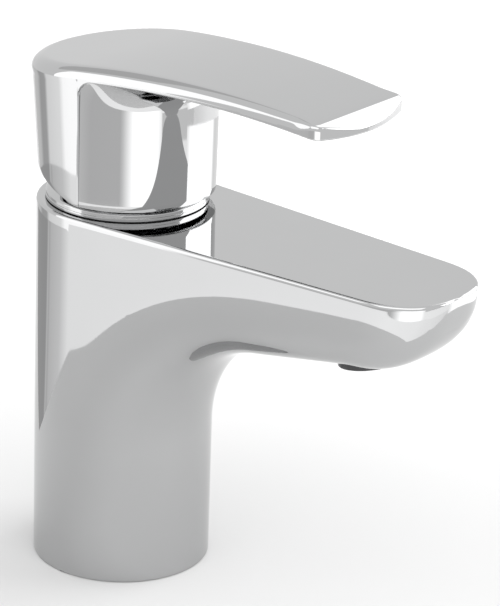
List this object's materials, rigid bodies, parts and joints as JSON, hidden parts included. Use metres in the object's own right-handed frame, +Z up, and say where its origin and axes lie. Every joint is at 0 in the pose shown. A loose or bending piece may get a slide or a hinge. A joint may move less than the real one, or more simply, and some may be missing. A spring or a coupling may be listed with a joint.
{
  "type": "bathroom mixer faucet",
  "caption": "Single-lever basin mixer: round column with a flat-topped spout, and a flat lever on a round hub that turns for temperature and lifts for flow.",
  "frame": {"origin": "centre of the column's foot, on the deck", "axes": "+Z up along the column, +X along the spout, +Y to the left of the spout"},
  "size_m": [0.1276, 0.047, 0.1386],
  "materials": {
    "chrome": "polished chrome plating",
    "brass": "machined",
    "steel": "plain stainless steel",
    "rubber": "black sealing rubber",
    "ceramic": "lapped ceramic",
    "white_plastic": "moulded",
    "grey_plastic": "moulded",
    "plug_plastic": "moulded, glossy",
    "outlet": "dark moulded ring"
  },
  "bodies": {
    "faucet": {"body_casting": "chrome", "base_seal": "rubber", "inlet_block": "brass", "cartridge_base": "white_plastic", "port_seals": "rubber", "disc_seals": "rubber", "fixed_disc": "ceramic", "cartridge_housing": "white_plastic", "stop_ring": "grey_plastic", "slip_washer": "white_plastic", "retaining_nut": "brass", "cover_seal": "rubber", "cover_ring": "chrome", "aerator_housing": "outlet", "aerator_seal": "rubber", "aerator_screen": "steel", "aerator_insert": "grey_plastic", "flow_regulator": "white_plastic"},
    "rotor": {"spindle_carrier": "grey_plastic", "pivot_pin": "steel"},
    "lever": {"lever_handle": "chrome", "spindle": "brass", "set_screw": "steel", "screw_plug": "plug_plastic"},
    "disc": {"moving_disc": "ceramic", "disc_carrier": "white_plastic"}
  },
  "joints": [
    {"name": "lever_swivel", "type": "hinge", "parent": "faucet", "child": "rotor", "pos_m": [0, 0, 0.1], "axis": [0, 0, 1], "range_deg": [-50, 50]},
    {"name": "lever_lift", "type": "hinge", "parent": "rotor", "child": "lever", "pos_m": [0, 0, 0.1], "axis": [0, -1, 0], "range_deg": [0, 20]},
    {"name": "disc_slide", "type": "slide", "parent": "rotor", "child": "disc", "axis": [1, 0, 0], "range_m": [0, 0.0042]}
  ],
  "couplings": [
    {"joint": "disc_slide", "follows": "lever_lift", "m_per_rad": 0.011758}
  ]
}
